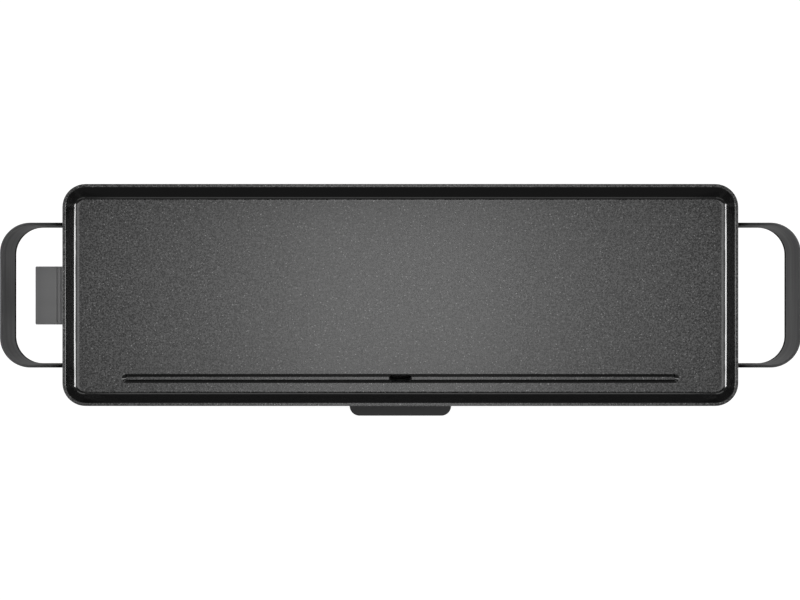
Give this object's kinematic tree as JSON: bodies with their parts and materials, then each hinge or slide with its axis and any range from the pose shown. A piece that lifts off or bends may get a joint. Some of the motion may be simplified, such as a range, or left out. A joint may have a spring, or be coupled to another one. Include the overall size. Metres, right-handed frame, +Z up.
{
  "type": "electric table grill",
  "caption": "Long electric table griddle with a drain groove and hole, two strip handles, a plug-in heat controller and a drip drawer.",
  "frame": {"origin": "on the table, under the middle of the whole grill's footprint, handles and drawer pull included; the plate's own middle lies 9.3 mm behind it", "axes": "+X along the plate towards the end without the controller, +Y to the back, away from the drain groove and the drawer, +Z up"},
  "size_m": [0.8386, 0.2486, 0.096],
  "materials": {
    "griddle_coating": "speckled non-stick coating",
    "base_enamel": "fine matt black powder coat",
    "handle_coat": "satin black powder coat",
    "element_sheath": "heat-darkened steel",
    "ceramic_seal": "unglazed ceramic",
    "bright_sheet": "bare aluminised sheet",
    "drain_metal": "bare pressed metal",
    "runner_metal": "mill finish",
    "zinc_hardware": "zinc plated",
    "black_hardware": "black oxide",
    "plug_pins": "nickel plated",
    "probe_steel": "stainless tube",
    "tray_enamel": "smooth dark enamel",
    "drawer_plastic": "fine grained black",
    "foot_rubber": "matt rubber",
    "controller_plastic": "fine grained dark grey",
    "insulator_moulding": "brown thermoset",
    "dial_plastic": "satin black",
    "lamp_glass": "orange glow lamp",
    "lens_plastic": "clear red"
  },
  "bodies": {
    "base": {"base_pan": "base_enamel", "clamp_screws": "zinc_hardware", "drain_spout": "drain_metal", "earth_strip": "bright_sheet", "element_clamps": "bright_sheet", "foot_back_left": "drawer_plastic", "foot_back_right": "drawer_plastic", "foot_bolts": "zinc_hardware", "foot_front_left": "drawer_plastic", "foot_front_right": "drawer_plastic", "foot_pad_back_left": "foot_rubber", "foot_pad_back_right": "foot_rubber", "foot_pad_front_left": "foot_rubber", "foot_pad_front_right": "foot_rubber", "griddle_plate": "griddle_coating", "guard_screws": "zinc_hardware", "handle_nuts": "zinc_hardware", "handle_screws": "black_hardware", "heat_shield": "bright_sheet", "heating_element": "element_sheath", "left_handle": "handle_coat", "left_runner": "runner_metal", "pin_insulators": "ceramic_seal", "right_handle": "handle_coat", "right_runner": "runner_metal", "runner_rivets": "zinc_hardware", "shield_screws": "zinc_hardware", "socket_guard": "controller_plastic", "spout_screws": "zinc_hardware", "support_pillars": "bright_sheet", "terminal_pins": "plug_pins"},
    "drawer": {"drip_tray": "tray_enamel", "drawer_front": "drawer_plastic", "drawer_screws": "zinc_hardware"},
    "controller": {"controller_upper_shell": "controller_plastic", "controller_lower_shell": "controller_plastic", "controller_collar": "controller_plastic", "probe_rod": "probe_steel", "contact_block": "insulator_moulding", "contact_sleeves": "plug_pins", "thermostat_switch": "insulator_moulding", "indicator_lamp": "lamp_glass", "lamp_lens": "lens_plastic", "cord_gland": "foot_rubber", "controller_screws": "black_hardware"},
    "dial": {"heat_dial": "dial_plastic", "dial_spindle": "probe_steel", "spindle_clip": "zinc_hardware"}
  },
  "joints": [
    {"name": "drawer_slide", "type": "slide", "parent": "base", "child": "drawer", "axis": [0, -1, 0], "range_m": [0, 0.15]},
    {"name": "controller_pull", "type": "slide", "parent": "base", "child": "controller", "axis": [-1, 0, 0], "range_m": [0, 0.1]},
    {"name": "dial_turn", "type": "hinge", "parent": "controller", "child": "dial", "pos_m": [-0.397, 0.0003, 0.04], "axis": [1, 0, 0], "range_deg": [0, 270]}
  ]
}
